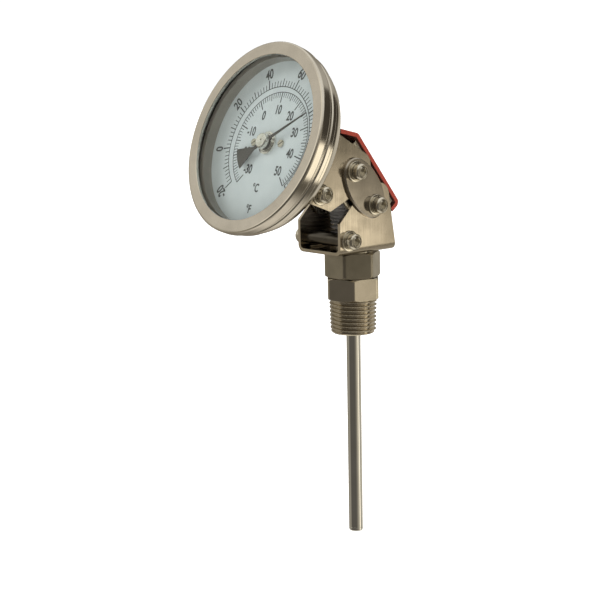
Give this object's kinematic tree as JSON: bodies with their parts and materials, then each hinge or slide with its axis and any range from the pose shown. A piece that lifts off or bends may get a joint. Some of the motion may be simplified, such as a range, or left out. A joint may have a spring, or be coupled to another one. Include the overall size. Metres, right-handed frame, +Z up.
{
  "type": "dial thermometer",
  "caption": "Dial thermometer on a tilting double-pivot bracket, with a flexible bellows, union nut, tapered pipe thread and a slim probe stem.",
  "frame": {"origin": "on the stem axis at the underside of the wrench hex, where the pipe thread starts", "axes": "+Z up the stem axis, the dial faces -Y and looks up, +X is parallel to both tilt pivots"},
  "size_m": [0.0814, 0.086, 0.2197],
  "materials": {
    "bezel_steel": "satin, turned grain",
    "case_steel": "polished",
    "bracket_steel": "satin, rolled sheet",
    "link_steel": "satin, rolled sheet",
    "clamp_steel": "satin with bright bevel",
    "fitting_steel": "machined",
    "nut_steel": "dull machined",
    "stem_steel": "mirror polished",
    "screw_steel": "bright",
    "dial_paint": "matt printed dial",
    "pointer_paint": "matt black",
    "hub_steel": "polished",
    "spacer_paint": "satin taupe",
    "clear_glass": "clear",
    "black_rubber": "moulded, ribbed",
    "gasket_rubber": "matt",
    "guard_red": "red coated sheet",
    "seal_plastic": "turned",
    "bush_brass": "turned",
    "spring_steel": "bright wire",
    "bimetal_strip": "rolled strip"
  },
  "bodies": {
    "fitting": {"npt_fitting": "fitting_steel", "seat_washer": "seal_plastic"},
    "union_nut": {"union_nut": "nut_steel"},
    "stem_head": {"stem_hub": "hub_steel", "stem_tube": "stem_steel", "stem_end_plug": "stem_steel", "bimetal_coil": "bimetal_strip", "stem_bushes": "bush_brass", "base_washer": "screw_steel", "lower_lock_nut": "screw_steel", "lower_bracket": "bracket_steel", "lower_tie_rod": "screw_steel", "lower_corner_screws": "screw_steel", "lower_corner_washers": "screw_steel", "lower_corner_lock_washers": "screw_steel"},
    "stem_spindle": {"drive_spindle": "spring_steel"},
    "link": {"link_channel": "link_steel", "clamp_plate_left": "clamp_steel", "clamp_plate_right": "clamp_steel", "back_guard": "guard_red", "pivot_screws": "screw_steel", "pivot_washers": "screw_steel", "pivot_lock_washers": "screw_steel", "bellows": "black_rubber", "flexible_drive": "spring_steel"},
    "case": {"bezel_ring": "bezel_steel", "window_gasket": "gasket_rubber", "window_glass": "clear_glass", "dial_spacer": "spacer_paint", "case_pan": "case_steel", "case_neck": "hub_steel", "upper_lock_nut": "screw_steel", "neck_bush": "bush_brass", "dial_plate": "dial_paint", "dial_screws": "screw_steel", "dial_posts": "hub_steel", "dial_collar": "hub_steel", "upper_bracket": "bracket_steel", "upper_tie_rod": "screw_steel", "upper_corner_screws": "screw_steel", "upper_corner_washers": "screw_steel", "upper_corner_lock_washers": "screw_steel"},
    "pointer": {"pointer": "pointer_paint", "pointer_hub": "hub_steel", "pointer_spindle": "spring_steel"}
  },
  "joints": [
    {"name": "union_nut_turn", "type": "hinge", "parent": "fitting", "child": "union_nut", "pos_m": [0, 0, 0.0157], "axis": [0, 0, 1], "range_deg": [0, 180]},
    {"name": "head_swivel", "type": "hinge", "parent": "fitting", "child": "stem_head", "pos_m": [0, 0, 0.019], "axis": [0, 0, 1], "continuous": true},
    {"name": "stem_spindle_turn", "type": "hinge", "parent": "stem_head", "child": "stem_spindle", "pos_m": [0, 0, 0.03], "axis": [0, 0, -1], "range_deg": [-200, 82]},
    {"name": "lower_tilt", "type": "hinge", "parent": "stem_head", "child": "link", "pos_m": [0, 0, 0.0424], "axis": [1, 0, 0], "range_deg": [-26, 7], "deforming": ["bellows", "flexible_drive"]},
    {"name": "upper_tilt", "type": "hinge", "parent": "link", "child": "case", "pos_m": [0, -0.0117, 0.05737], "axis": [1, 0, 0], "range_deg": [-16, 13.5], "deforming": ["bellows", "flexible_drive"]},
    {"name": "pointer_turn", "type": "hinge", "parent": "case", "child": "pointer", "pos_m": [0, -0.05496, 0.07387], "axis": [0, 0.9344, -0.3562], "range_deg": [-198, 80], "stiffness_Nm_per_rad": 0.0004}
  ],
  "couplings": [
    {"joint": "stem_spindle_turn", "follows": "pointer_turn", "ratio": 1}
  ]
}
